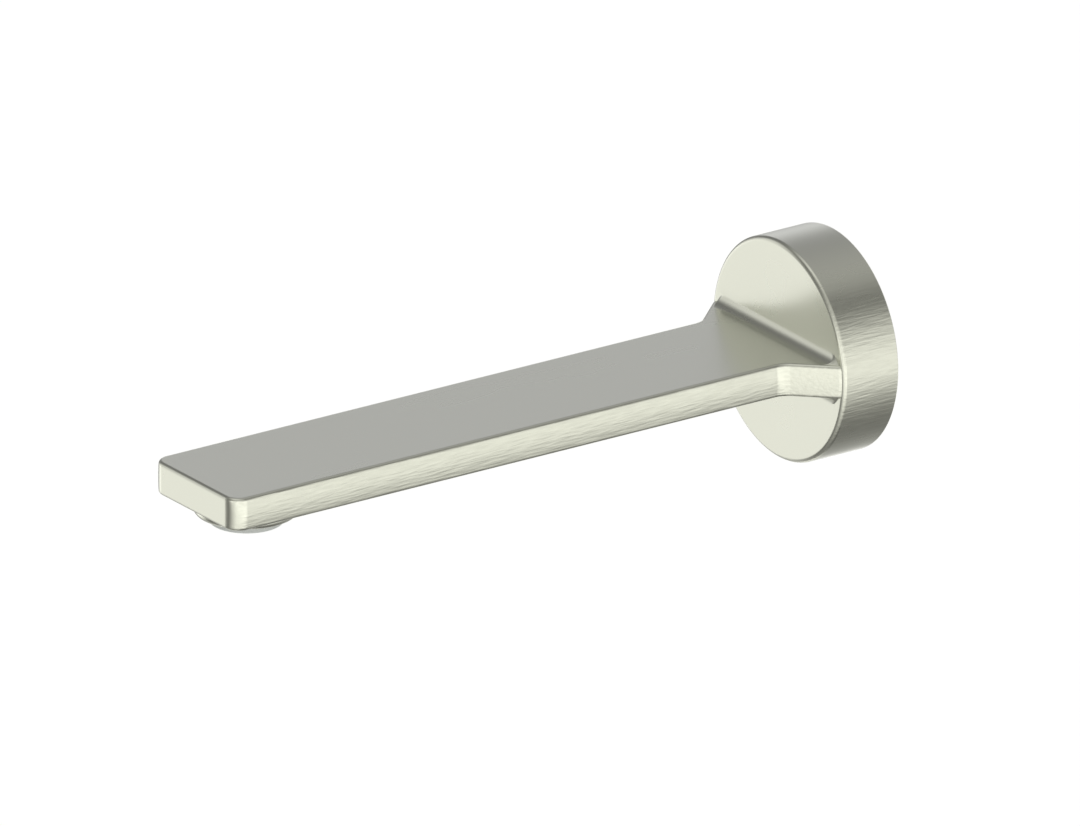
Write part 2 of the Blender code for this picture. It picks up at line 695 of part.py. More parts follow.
def dome_strainer():
    """The domed strainer on top of the aerator, open underneath."""
    base = STRAINER_BOTTOM + STRAINER_RIM
    outer = DISC_RADIUS - STRAINER_WALL
    rise = CHAMBER_TOP - STRAINER_HEADROOM - base
    inner, inner_rise = outer - STRAINER_WALL, rise - STRAINER_WALL
    steps = 5
    angles = [math.radians(90 * step / steps) for step in range(steps + 1)]
    outside = [(outer * math.cos(a), base + rise * math.sin(a)) for a in angles]
    inside = [(inner * math.cos(a), base + inner_rise * math.sin(a)) for a in angles]
    outside[-1], inside[-1] = (0, base + rise), (0, base + inner_rise)
    profile = [
        (inner, STRAINER_BOTTOM),
        (DISC_RADIUS, STRAINER_BOTTOM),
        (DISC_RADIUS, base),
        *outside,
        *reversed(inside),
    ]
    at_outlet("dome_strainer", profile, WHITE_PLASTIC)


def main():
    clear_scene()
    inlet_adaptor()
    oring("front_oring", FRONT_ORING_Y)
    oring("rear_oring", REAR_ORING_Y)
    thread_washer()
    spout_body()
    waterway_plate()
    flange_seal()
    grub_screw()
    outlet_collar()
    aerator_gasket()
    dome_strainer()
    jet_plate()
    mixing_sleeve()
    flow_spreader()
    grid_disc("upper_screen", UPPER_SCREEN_BOTTOM, SCREEN_THICKNESS, STAINLESS)
    grid_disc("lower_screen", LOWER_SCREEN_BOTTOM, SCREEN_THICKNESS, STAINLESS)
    grid_disc("outlet_grille", GRILLE_BOTTOM, GRILLE_THICKNESS, GREY_PLASTIC)
    aerator_housing()


main()
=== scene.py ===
import math

import bmesh
import bpy
from mathutils import Matrix, Vector


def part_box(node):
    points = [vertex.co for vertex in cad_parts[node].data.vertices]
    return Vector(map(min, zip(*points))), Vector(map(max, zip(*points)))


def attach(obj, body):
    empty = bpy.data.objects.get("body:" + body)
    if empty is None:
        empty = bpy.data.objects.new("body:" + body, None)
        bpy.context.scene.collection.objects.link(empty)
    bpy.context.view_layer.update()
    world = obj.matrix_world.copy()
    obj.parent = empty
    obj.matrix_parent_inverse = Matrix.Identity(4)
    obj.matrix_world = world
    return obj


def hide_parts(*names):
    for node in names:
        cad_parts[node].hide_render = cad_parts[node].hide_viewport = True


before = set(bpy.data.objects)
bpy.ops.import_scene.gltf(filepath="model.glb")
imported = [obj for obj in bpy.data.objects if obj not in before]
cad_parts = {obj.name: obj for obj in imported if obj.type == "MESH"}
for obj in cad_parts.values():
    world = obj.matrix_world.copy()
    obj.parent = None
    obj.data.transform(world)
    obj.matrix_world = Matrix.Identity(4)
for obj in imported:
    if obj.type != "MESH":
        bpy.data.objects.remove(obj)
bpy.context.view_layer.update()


# ---- Inlet adaptor ----
# A brass nipple turned from hexagon bar. Its G 1/2 thread is screwed into the fitting in the wall with a
# hexagon key from the front, and the spout's socket then slides over its plain end.

adaptor_low, adaptor_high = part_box("inlet_adaptor")
THREAD_RADIUS = 0.02095 / 2
THREAD_PITCH = 0.001814
THREAD_DEPTH = 0.00116
SPIGOT_RADIUS = 0.0099
SHOULDER_RADIUS = adaptor_high.x
SHOULDER_THICKNESS = 0.0024
BORE_RADIUS = 0.0056
ORING_GROOVE_RADIUS = 0.00865
ORING_GROOVE_WIDTH = 0.0019
ORING_PITCH = 0.0026
GRUB_SCREW_Y = -0.0072
KEY_HEXAGON = 0.0069  # from the middle to a corner
INTO_WALL = Matrix.Rotation(-math.pi / 2, 4, "X")  # what is turned round Z then lies along +Y


def lathe(outline, steps=128, place=Matrix()):
    """Turns a closed outline of (radius, height) points round Z, then puts it in its place."""
    bm = bmesh.new()
    points = [bm.verts.new((radius, 0, height)) for radius, height in outline]
    edges = [bm.edges.new(pair) for pair in zip(points, points[1:] + points[:1])]
    bmesh.ops.spin(
        bm, geom=points + edges, cent=(0, 0, 0), axis=(0, 0, 1), angle=math.tau, steps=steps, use_merge=True
    )
    bmesh.ops.remove_doubles(bm, verts=bm.verts, dist=1e-7)
    on_axis = [e for e in bm.edges if all(v.co.xy.length < 1e-8 for v in e.verts)]
    bmesh.ops.delete(bm, geom=on_axis, context="EDGES")
    bmesh.ops.transform(bm, verts=bm.verts, matrix=place)
    return bm


def round_corner(centre, radius, start, end, steps):
    """Points of a rounded corner in an outline, from one angle to another in degrees."""
    angles = [math.radians(start + (end - start) * step / steps) for step in range(steps + 1)]
    return [(centre[0] + radius * math.cos(a), centre[1] + radius * math.sin(a)) for a in angles]


def bar(radius, low, high, sides=48, place=Matrix()):
    """A straight bar on Z between two heights, round or with a few flats, then put in its place."""
    bm = bmesh.new()
    middle = Matrix.Translation((0, 0, (low + high) / 2))
    bmesh.ops.create_cone(
        bm, cap_ends=True, segments=sides, radius1=radius, radius2=radius, depth=high - low, matrix=place @ middle
    )
    return bm


def thread_groove(radius, depth, pitch, low, high, place=Matrix(), steps=56):
    """The helical groove that a threading tool takes away: a positive depth cuts a bolt, a negative one a bore."""
    bm = bmesh.new()
    overcut, flank = 0.0002, math.radians(27.5)
    over = math.copysign(overcut, depth)
    root = 0.08 * pitch
    mouth = root + (abs(depth) + overcut) * math.tan(flank)
    section = [(radius - depth, -root), (radius - depth, root), (radius + over, mouth), (radius + over, -mouth)]
    face = bm.faces.new([bm.verts.new((r, 0, low + h)) for r, h in section])
    turns = (high - low) / pitch
    count = math.ceil(turns * steps)
    bmesh.ops.spin(
        bm, geom=[face, *face.edges, *face.verts], cent=(0, 0, 0), axis=(0, 0, 1), dvec=(0, 0, (high - low) / count),
        angle=math.tau * turns, steps=count,
    )
    bmesh.ops.transform(bm, verts=bm.verts, matrix=place)
    return bm


def made(name, bm):
    """An object from a bmesh, its doubles merged and its faces pointing out."""
    bmesh.ops.remove_doubles(bm, verts=bm.verts, dist=1e-7)
    bmesh.ops.recalc_face_normals(bm, faces=bm.faces)
    mesh = bpy.data.meshes.new(name)
    bm.to_mesh(mesh)
    bm.free()
    item = bpy.data.objects.new(name, mesh)
    bpy.context.scene.collection.objects.link(item)
    return item


def work(item, operation, bm):
    """Cuts a shape away from a piece, or joins it on, at once."""
    tool = made("tool", bm)
    step = item.modifiers.new("work", "BOOLEAN")
    step.operation, step.solver, step.object = operation, "EXACT", tool
    shaped = bpy.data.meshes.new_from_object(item.evaluated_get(bpy.context.evaluated_depsgraph_get()))
    item.modifiers.clear()
    item.data = shaped
    bpy.data.objects.remove(tool)


def fitted(item, material, node, body, crease=32):
    """Gives a finished piece its material and smooth faces, and puts it on its body in place of a CAD node."""
    mesh = item.data
    mesh.name = item.name
    mesh.materials.clear()
    mesh.materials.append(material)
    mesh.shade_smooth()
    mesh.set_sharp_from_angle(angle=math.radians(crease))
    shading = item.modifiers.new("even shading", "WEIGHTED_NORMAL")
    shading.keep_sharp = True
    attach(item, body)
    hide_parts(node)


def finish(name, colours, metallic, roughness, grain, depth, detail=3.0):
    """A material whose colour, roughness and height drift with a fine grain through the piece itself."""
    material = bpy.data.materials.new(name)
    material.use_nodes = True
    nodes, links = material.node_tree.nodes, material.node_tree.links
    shader = nodes["Principled BSDF"]
    shader.inputs["Metallic"].default_value = metallic
    place = nodes.new("ShaderNodeTexCoord")
    scale = nodes.new("ShaderNodeMapping")
    scale.inputs["Scale"].default_value = grain
    noise = nodes.new("ShaderNodeTexNoise")
    noise.inputs["Scale"].default_value = 1
    noise.inputs["Detail"].default_value = detail
    tone = nodes.new("ShaderNodeMix")
    tone.data_type = "RGBA"
    tone.inputs["A"].default_value = (*colours[0], 1)
    tone.inputs["B"].default_value = (*colours[1], 1)
    sheen = nodes.new("ShaderNodeMapRange")
    sheen.inputs["To Min"].default_value, sheen.inputs["To Max"].default_value = roughness
    relief = nodes.new("ShaderNodeBump")
    relief.inputs["Distance"].default_value = depth
    links.new(place.outputs["Object"], scale.inputs["Vector"])
    links.new(scale.outputs["Vector"], noise.inputs["Vector"])
    links.new(noise.outputs["Fac"], tone.inputs["Factor"])
    links.new(noise.outputs["Fac"], sheen.inputs["Value"])
    links.new(noise.outputs["Fac"], relief.inputs["Height"])
    links.new(tone.outputs["Result"], shader.inputs["Base Color"])
    links.new(sheen.outputs["Result"], shader.inputs["Roughness"])
    links.new(relief.outputs["Normal"], shader.inputs["Normal"])
    return material


turned_brass = finish(
    "turned brass", ((0.58, 0.38, 0.15), (0.72, 0.51, 0.23)), 1.0, (0.2, 0.36), (1500, 5200, 1500), 0.000002
)

spigot_end = adaptor_low.y
thread_end = adaptor_high.y
front_groove_y = spigot_end + 0.0007 + ORING_GROOVE_WIDTH / 2
rear_groove_y = front_groove_y + ORING_PITCH


def shaft_groove(centre, half_width, radius):
    """A groove's four points in a shaft's outline, from its wall end to its free end."""
    back, front = centre + half_width, centre - half_width
    return [(SPIGOT_RADIUS, back), (radius, back), (radius, front), (SPIGOT_RADIUS, front)]


thread_runout = THREAD_RADIUS - 0.00125
adaptor_outline = [
    (BORE_RADIUS + 0.0004, thread_end),
    (THREAD_RADIUS - 0.0012, thread_end),
    (THREAD_RADIUS, thread_end - 0.0012),
    (THREAD_RADIUS, 0.0024),
    (thread_runout, 0.0018),
    (thread_runout, 0),
    (SHOULDER_RADIUS - 0.0003, 0),
    (SHOULDER_RADIUS, -0.0003),
    (SHOULDER_RADIUS, -SHOULDER_THICKNESS + 0.0003),
    (SHOULDER_RADIUS - 0.0003, -SHOULDER_THICKNESS),
    (SPIGOT_RADIUS, -SHOULDER_THICKNESS),
    *shaft_groove(GRUB_SCREW_Y, 0.0016, SPIGOT_RADIUS - 0.0005),
    *shaft_groove(rear_groove_y, ORING_GROOVE_WIDTH / 2, ORING_GROOVE_RADIUS),
    *shaft_groove(front_groove_y, ORING_GROOVE_WIDTH / 2, ORING_GROOVE_RADIUS),
    (SPIGOT_RADIUS, spigot_end + 0.0003),
    (SPIGOT_RADIUS - 0.0003, spigot_end),
    (BORE_RADIUS, spigot_end),
    (BORE_RADIUS, thread_end - 0.0004),
]
adaptor = made("turned_inlet_adaptor", lathe(adaptor_outline, 96, INTO_WALL))
work(adaptor, "DIFFERENCE", bar(KEY_HEXAGON, spigot_end - 0.001, spigot_end + 0.008, 6, INTO_WALL))
work(
    adaptor,
    "DIFFERENCE",
    thread_groove(THREAD_RADIUS, THREAD_DEPTH, THREAD_PITCH, 0.0019, thread_end + 0.001, INTO_WALL),
)
fitted(adaptor, turned_brass, "inlet_adaptor", "spout")


# ---- O-rings ----
# Two nitrile rings in the adaptor's grooves, moulded round and squeezed a little by the socket. They keep
# the water in the waterway.

rubber = finish(
    "moulded rubber", ((0.012, 0.012, 0.012), (0.03, 0.03, 0.029)), 0.0, (0.42, 0.6), (2600, 2600, 2600), 0.000004
)
for node, along in (("front_oring", front_groove_y), ("rear_oring", rear_groove_y)):
    ring_low, ring_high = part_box(node)
    section = (ring_high.y - ring_low.y) / 2
    centre = (ring_high.x - section, (ring_low.y + ring_high.y) / 2)
    ring = lathe(round_corner(centre, section, 0, 360, 28)[:-1], 112, INTO_WALL)
    fitted(made("nitrile_" + node, ring), rubber, node, "spout")


# ---- Thread washer ----
# A flat washer stamped from red vulcanised fibre, which the adaptor's shoulder presses against the fitting
# in the wall.

fibre = finish(
    "vulcanised fibre", ((0.2, 0.03, 0.022), (0.36, 0.075, 0.05)), 0.0, (0.62, 0.85), (1800, 2600, 1800), 0.000018, 6.0
)
washer_low, washer_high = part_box("thread_washer")
washer_inner, washer_edge = THREAD_RADIUS + 0.0003, 0.00012
washer = lathe(
    [
        (washer_inner, washer_low.y),
        (washer_high.x - washer_edge, washer_low.y),
        (washer_high.x, washer_low.y + washer_edge),
        (washer_high.x, washer_high.y - washer_edge),
        (washer_high.x - washer_edge, washer_high.y),
        (washer_inner, washer_high.y),
    ],
    96,
    INTO_WALL,
)
fitted(made("stamped_thread_washer", washer), fibre, "thread_washer", "spout")


# ---- Spout body ----
# One brass casting: the flat arm, which flares into a round hollow flange, with a bored socket inside for the
# adaptor. The outside is linished along the arm's sides and the rim, then plated with warm nickel.

body_low, body_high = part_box("spout_body")
plate_low, plate_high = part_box("waterway_plate")
TIP_Y = body_low.y
FLANGE_RADIUS = body_high.x
FLANGE_FRONT = -0.019
FLANGE_EDGE = 0.0014
ARM_HALF_WIDTH = 0.02075
ARM_TOP = 0.005
TIP_CORNER = 0.005
ARM_EDGE = 0.0011
SIDE_CROWN = 0.00028
BEND_RADIUS = 0.0052
FLARE_START = 0.0315  # wall to where the lines of the straight side and of the flare would cross
FLARE_ANGLE = math.radians(43)
FLARE_END_IN = 0.0008  # how far inside the rim the flare ends
FLARE_END_ROUND = 0.00095
ROOT_FILLET = 0.0034
CUP_RADIUS = FLANGE_RADIUS - 0.0045
CUP_END = FLANGE_FRONT + 0.0035
SOCKET_RADIUS = SPIGOT_RADIUS + 0.0003
SOCKET_OUTER = SOCKET_RADIUS + 0.0038
SOCKET_BACK = -0.0034
SOCKET_END = FLANGE_FRONT + 0.0028
OUTLET_Y = TIP_Y + 0.0185
CHANNEL_HALF_WIDTH = 0.014
CHANNEL_TOP = ARM_TOP - 0.0022
CHANNEL_FLOOR = plate_high.z + 0.0003
MOUTH_HALF_WIDTH = 0.009
PLATE_CLEARANCE = 0.00006
COLLAR_HOLE = 0.01358
SCREW_HOLE = 0.0028
PILLAR_HALF_WIDTH = 0.005
PILLAR_LOW, PILLAR_HIGH = -0.0297, -0.0128
THROUGH = 0.001  # how far a cutter goes past the face that it opens


def flare_side(y, inset):
    """How far out the flare's side is at that y, drawn in by the inset square to itself."""
    return ARM_HALF_WIDTH + (y + FLARE_START) * math.tan(FLARE_ANGLE) - inset / math.cos(FLARE_ANGLE)


def arm_block():
    """The arm as a bar: its plan drawn straight, then its corners, bends and long edges rounded."""
    half_width = ARM_HALF_WIDTH - SIDE_CROWN
    bend_y = -FLARE_START + SIDE_CROWN * math.tan(FLARE_ANGLE / 2)
    back = FLANGE_FRONT + FLANGE_EDGE
    end_x = FLANGE_RADIUS - FLARE_END_IN - SIDE_CROWN
    flare_end = back - (flare_side(back, SIDE_CROWN) - end_x) / math.tan(FLARE_ANGLE)
    right = [(half_width, TIP_Y), (half_width, bend_y), (end_x, flare_end), (end_x, back)]
    bm = bmesh.new()
    plan = bm.faces.new([bm.verts.new((x, y, -ARM_TOP)) for x, y in right + [(-x, y) for x, y in reversed(right)]])
    upper = bmesh.ops.extrude_face_region(bm, geom=[plan])["geom"]
    bmesh.ops.translate(bm, verts=[v for v in upper if isinstance(v, bmesh.types.BMVert)], vec=(0, 0, 2 * ARM_TOP))

    def upright_at(edge, y):
        """Whether an edge stands upright within a tenth of a millimetre of that y."""
        a, b = (v.co for v in edge.verts)
        return (a.xy - b.xy).length < 1e-7 and abs(a.y - y) < 0.0001

    for y, offset in (
        (TIP_Y, TIP_CORNER - SIDE_CROWN),
        (bend_y, (BEND_RADIUS + SIDE_CROWN) * math.tan(FLARE_ANGLE / 2)),
        (flare_end, FLARE_END_ROUND),
    ):
        bmesh.ops.bevel(
            bm, geom=[e for e in bm.edges if upright_at(e, y)], offset=offset, offset_type="OFFSET",
            affect="EDGES", segments=22, profile=0.5, material=-1,
        )

    def long_edge(edge):
        """Whether an edge lies level and isn't one of the two across the back, which end inside the flange."""
        a, b = (v.co for v in edge.verts)
        return abs(a.z - b.z) < 1e-7 and (max(a.y, b.y) < back - 1e-5 or abs(a.y - b.y) > 1e-4)

    bmesh.ops.bevel(
        bm, geom=[e for e in bm.edges if long_edge(e)], offset=ARM_EDGE, offset_type="OFFSET", affect="EDGES",
        segments=6, profile=0.5, material=-1,
    )
    side = ARM_TOP - ARM_EDGE
    walls = [e for e in bm.edges if abs(abs(e.verts[0].co.z - e.verts[1].co.z) - 2 * side) < 1e-6]
    bmesh.ops.subdivide_edges(bm, edges=walls, cuts=15, use_grid_fill=True)
    bm.normal_update()
    for v in bm.verts:
        if abs(v.co.z) < side + 1e-6 and v.co.y < back - 1e-5:
            out = v.normal.x / max(1e-6, v.normal.xy.length)
            v.co.x += out * SIDE_CROWN * (1 - min(1, abs(v.co.z) / side) ** 2)
    return bm


def root_fillet():
    """The hollow round where the arm's top and underside run into the flange's front.

    It starts a hair inside the arm and ends a hair inside the flange, so that no two faces of the join coincide.
    """
    start_y = FLANGE_FRONT - ROOT_FILLET
    flat_radius = FLANGE_RADIUS - FLANGE_EDGE
    hair = 0.00003
    stations = [(start_y - 0.00025, -hair)]
    for step in range(25):
        angle = math.radians(90 * step / 24)
        stations.append((start_y + (ROOT_FILLET + hair) * math.sin(angle), ROOT_FILLET * (1 - math.cos(angle))))
    stations.append((FLANGE_FRONT + FLANGE_EDGE, ROOT_FILLET))
    bm, loops = bmesh.new(), []
    for y, rise in stations:
        top = ARM_TOP + rise
        side = min(flare_side(y, SIDE_CROWN + ARM_EDGE + 0.00005), math.sqrt(flat_radius**2 - top**2) - 0.00015)
        shoulder = [(0, 0), (0.35, 0.45), (0.75, 0.85), (1.3, 1)]
        quarter = [(side, 0.002)] + [(side - abs(rise) * x, ARM_TOP + rise * z) for x, z in shoulder]
        right = [(x, -z) for x, z in reversed(quarter)] + quarter
        ring = [bm.verts.new((x, y, z)) for x, z in right + [(-x, z) for x, z in reversed(right)]]
        loops.append([bm.edges.new(pair) for pair in zip(ring, ring[1:] + ring[:1])])
    for near, far in zip(loops, loops[1:]):
        bmesh.ops.bridge_loops(bm, edges=near + far)
    for loop in (loops[0], loops[-1]):
        bmesh.ops.edgeloop_fill(bm, edges=loop)
    return bm


def box_shape(low, high, edge=0.0):
    """A block between two corners, with its long edges along Y rounded if an edge is given."""
    bm = bmesh.new()
    low, high = Vector(low), Vector(high)
    size = Matrix.Diagonal((*(high - low), 1))
    bmesh.ops.create_cube(bm, size=1, matrix=Matrix.Translation((low + high) / 2) @ size)
    if edge:
        long_edges = [e for e in bm.edges if abs(e.verts[0].co.y - e.verts[1].co.y) > 1e-5]
        bmesh.ops.bevel(
            bm, geom=long_edges, offset=edge, offset_type="OFFSET", affect="EDGES", segments=6, profile=0.5, material=-1
        )
    return bm


def plate_shape(bottom, top, grow):
    """The plate's rounded rectangle, grown by a clearance for the rebate that it lies in."""
    bm = box_shape((plate_low.x - grow, plate_low.y - grow, bottom), (plate_high.x + grow, plate_high.y + grow, top))
    corners = [e for e in bm.edges if abs(e.verts[0].co.z - e.verts[1].co.z) > 1e-5]
    bmesh.ops.bevel(
        bm, geom=corners, offset=0.003 + grow, offset_type="OFFSET", affect="EDGES", segments=12, profile=0.5,
        material=-1,
    )
    return bm


def node_math(tree, operation, *values):
    """A Math node whose inputs are numbers or other nodes' outputs. Returns its output."""
    node = tree.nodes.new("ShaderNodeMath")
    node.operation = operation
    for socket, value in zip(node.inputs, values):
        if isinstance(value, (int, float)):
            socket.default_value = value
        else:
            tree.links.new(value, socket)
    return node.outputs["Value"]


def brushed_nickel():
    """Nickel over brass that was linished along Y: fine scratches on the sides, none on the flat top and underside.

    The flat front faces were buffed from side to side instead, so theirs are fainter and lie along X.
    """
    material = finish(
        "brushed nickel", ((0.889, 0.898, 0.817), (0.897, 0.906, 0.825)), 1.0, (0.27, 0.28), (60, 20, 60), 0.0
    )
    tree = material.node_tree
    nodes, links = tree.nodes, tree.links
    place, relief, shader = nodes["Texture Coordinate"], nodes["Bump"], nodes["Principled BSDF"]
    relief.inputs["Distance"].default_value = 0.00011
    facing = nodes.new("ShaderNodeSeparateXYZ")
    links.new(place.outputs["Normal"], facing.inputs["Vector"])

    def scratches(scale, detail):
        """Noise drawn out along the axis with the smallest scale."""
        stretch = nodes.new("ShaderNodeMapping")
        stretch.inputs["Scale"].default_value = scale
        noise = nodes.new("ShaderNodeTexNoise")
        noise.inputs["Scale"].default_value = 1
        noise.inputs["Detail"].default_value = detail
        links.new(place.outputs["Object"], stretch.inputs["Vector"])
        links.new(stretch.outputs["Vector"], noise.inputs["Vector"])
        return noise.outputs["Fac"]

    def ramp(value, start, end, low, high):
        """The value's run from start to end made a run from low to high, and held there past both."""
        level = nodes.new("ShaderNodeMapRange")
        level.inputs["From Min"].default_value, level.inputs["From Max"].default_value = start, end
        level.inputs["To Min"].default_value, level.inputs["To Max"].default_value = low, high
        links.new(value, level.inputs["Value"])
        return level.outputs["Result"]

    sideways = ramp(node_math(tree, "ABSOLUTE", facing.outputs["Z"]), 0.85, 0.45, 0.0, 1.0)
    linished = ramp(facing.outputs["Y"], -0.85, -0.6, 0.0, 1.0)
    buffed = ramp(facing.outputs["Y"], -0.8, -0.95, 0.0, 0.01)
    streaks = node_math(tree, "SUBTRACT", scratches((1250, 130, 1250), 3), 0.5)
    along = node_math(tree, "MULTIPLY", node_math(tree, "MULTIPLY", streaks, sideways), linished)
    brightness = ramp(along, -0.5, 0.5, 0.86, 1.14)
    tint = nodes.new("ShaderNodeVectorMath")
    tint.operation = "SCALE"
    links.new(nodes["Mix"].outputs["Result"], tint.inputs[0])
    links.new(brightness, tint.inputs["Scale"])
    links.new(tint.outputs["Vector"], shader.inputs["Base Color"])
    across = node_math(tree, "MULTIPLY", scratches((90, 1500, 1500), 2), buffed)
    links.new(node_math(tree, "ADD", along, across), relief.inputs["Height"])
    return material


nickel = brushed_nickel()
cast_inside = finish(
    "plated casting", ((0.4, 0.4, 0.34), (0.54, 0.535, 0.46)), 1.0, (0.42, 0.58), (1400, 1400, 1400), 0.00002, 4.0
)

# The flange with its cup and socket is one turned shape, and the arm, its fillet and the pillar that the screw
# goes through are joined to it.
edge_centre = (FLANGE_RADIUS - FLANGE_EDGE, FLANGE_FRONT + FLANGE_EDGE)
seal_outer, seal_inner, seal_depth = FLANGE_RADIUS - 0.0012, FLANGE_RADIUS - 0.0033, -0.0015
body = made(
    "cast_spout_body",
    lathe(
        [
            (0, FLANGE_FRONT),
            *round_corner(edge_centre, FLANGE_EDGE, -90, 0, 12),
            (FLANGE_RADIUS, -0.0003),
            (FLANGE_RADIUS - 0.0003, 0),
            (seal_outer, 0),
            (seal_outer, seal_depth),
            (seal_inner, seal_depth),
            (seal_inner, 0),
            (CUP_RADIUS + 0.0003, 0),
            (CUP_RADIUS, -0.0003),
            *round_corner((CUP_RADIUS - 0.0015, CUP_END + 0.0015), 0.0015, 0, -90, 8),
            *round_corner((SOCKET_OUTER + 0.001, CUP_END + 0.001), 0.001, -90, -180, 6),
            (SOCKET_OUTER, SOCKET_BACK - 0.0003),
            (SOCKET_OUTER - 0.0003, SOCKET_BACK),
            (SOCKET_RADIUS + 0.0005, SOCKET_BACK),
            (SOCKET_RADIUS, SOCKET_BACK - 0.0005),
            (SOCKET_RADIUS, SOCKET_END),
            (0, SOCKET_END),
        ],
        256,
        INTO_WALL,
    ),
)
work(body, "UNION", arm_block())
work(body, "UNION", root_fillet())
pillar = box_shape(
    (-PILLAR_HALF_WIDTH, CUP_END - 0.0012, PILLAR_LOW), (PILLAR_HALF_WIDTH, SOCKET_BACK - 0.0007, PILLAR_HIGH), 0.0012
)
work(body, "UNION", pillar)

# Five cuts open it: the mouth from the socket, the channel in the arm, the rebate for the plate, the hole for the
# collar, and the hole for the screw.
at_outlet = Matrix.Translation((0, OUTLET_Y, 0))
at_screw = Matrix.Translation((0, GRUB_SCREW_Y, 0))
for shape in (
    box_shape(
        (-MOUTH_HALF_WIDTH, FLANGE_FRONT - 0.002, CHANNEL_FLOOR + 0.0003),
        (MOUTH_HALF_WIDTH, SOCKET_END + THROUGH, CHANNEL_TOP - 0.0003),
    ),
    box_shape(
        (-CHANNEL_HALF_WIDTH, OUTLET_Y, CHANNEL_FLOOR), (CHANNEL_HALF_WIDTH, FLANGE_FRONT - 0.001, CHANNEL_TOP), 0.0008
    ),
    plate_shape(-ARM_TOP - THROUGH, CHANNEL_FLOOR + 0.0003, PLATE_CLEARANCE),
    bar(COLLAR_HOLE, -ARM_TOP - THROUGH, CHANNEL_TOP - 0.0003, 128, at_outlet),
    bar(SCREW_HOLE, -FLANGE_RADIUS - THROUGH, -SOCKET_RADIUS + THROUGH, 48, at_screw),
):
    work(body, "DIFFERENCE", shape)
fitted(body, nickel, "spout_body", "spout")

# The cup and the screw's hole were plated as cast, without linishing.
body.data.materials.append(cast_inside)
for face in body.data.polygons:
    across = math.hypot(face.center.x, face.center.z)
    in_cup = face.center.y > CUP_END - 1e-5 and across < CUP_RADIUS + 1e-5
    near_screw = math.hypot(face.center.x, face.center.y - GRUB_SCREW_Y) < SCREW_HOLE + 0.00001
    if in_cup or near_screw and face.center.z < PILLAR_HIGH + 0.0008 and abs(face.normal.z) < 0.3:
        face.material_index = 1

# The evened shading is kept as it is, except on the rim, which is shaded as a true cylinder: the hole drilled
# through it would pull the shading of the long faces round it askew.
evened = body.evaluated_get(bpy.context.evaluated_depsgraph_get()).data
normals = [corner.vector.copy() for corner in evened.corner_normals]
for face in body.data.polygons:
    corners = [body.data.vertices[index].co for index in face.vertices]
    on_rim = all(co.xz.length > FLANGE_RADIUS - 0.00002 for co in corners)
    if on_rim:
        for loop, co in zip(face.loop_indices, corners):
            normals[loop] = Vector((co.x, 0, co.z)).normalized()
body.modifiers.clear()
body.data.normals_split_custom_set(normals)


# ---- Waterway plate ----
# A thin brass plate brazed into the underside of the arm to close the waterway, then linished flush and
# plated with the body. Only its fine joint line shows.

plate = plate_shape(plate_low.z, plate_high.z, 0)
rims = [e for e in plate.edges if max(v.co.z for v in e.verts) < plate_low.z + 1e-6]
bmesh.ops.bevel(
    plate, geom=rims, offset=0.00006, offset_type="OFFSET", affect="EDGES", segments=2, profile=0.5, material=-1
)
fitted(made("brazed_waterway_plate", plate), nickel, "waterway_plate", "spout")


# ---- Flange seal ----
# A soft rubber ring pressed into the groove in the back of the rim, level with it, so that water can't run
# behind the flange.

flange_seal_low, flange_seal_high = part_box("flange_seal")
seal_out = flange_seal_high.x
seal = lathe(
    [
        (seal_out - 0.0015, flange_seal_low.y),
        (seal_out, flange_seal_low.y),
        *round_corner((seal_out - 0.0003, flange_seal_high.y - 0.0003), 0.0003, 0, 90, 5),
        (seal_out - 0.0006, flange_seal_high.y),
        (seal_out - 0.00075, flange_seal_high.y - 0.0002),
        (seal_out - 0.0009, flange_seal_high.y),
        *round_corner((seal_out - 0.0012, flange_seal_high.y - 0.0003), 0.0003, 90, 180, 5),
    ],
    160,
    INTO_WALL,
)
fitted(made("rubber_flange_seal", seal), rubber, "flange_seal", "spout")


# ---- Grub screw ----
# A headless stainless screw, M5, with a hexagon socket. It is driven up through the bottom of the rim and its
# cone beds in the groove of the adaptor, which holds the spout on.

steel = finish(
    "stainless steel", ((0.34, 0.34, 0.335), (0.47, 0.47, 0.46)), 1.0, (0.24, 0.4), (3000, 3000, 900), 0.0000015
)
screw_low, screw_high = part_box("grub_screw")
screw_length = screw_high.z - screw_low.z
screw_place = at_screw @ Matrix.Translation((0, 0, screw_low.z))
SCREW_RADIUS = 0.0025
SCREW_HEXAGON = 0.00144  # from the middle to a corner
screw = made(
    "socket_grub_screw",
    lathe(
        [
            (0, 0),
            (SCREW_RADIUS - 0.0004, 0),
            (SCREW_RADIUS, 0.0004),
            (SCREW_RADIUS, screw_length - 0.0015),
            (0.001, screw_length),
            (0, screw_length),
        ],
        64,
        screw_place,
    ),
)
work(screw, "DIFFERENCE", bar(SCREW_HEXAGON, -THROUGH, 0.003, 6, screw_place))
work(
    screw,
    "DIFFERENCE",
    thread_groove(SCREW_RADIUS, 0.00049, 0.0008, -0.0008, screw_length - 0.0012, screw_place, 40),
)
fitted(screw, steel, "grub_screw", "grub_screw")


# ---- Outlet collar ----
# A brass bush turned with an internal thread and brazed into the arm's underside. It gives the aerator its
# depth, and is plated with the body.

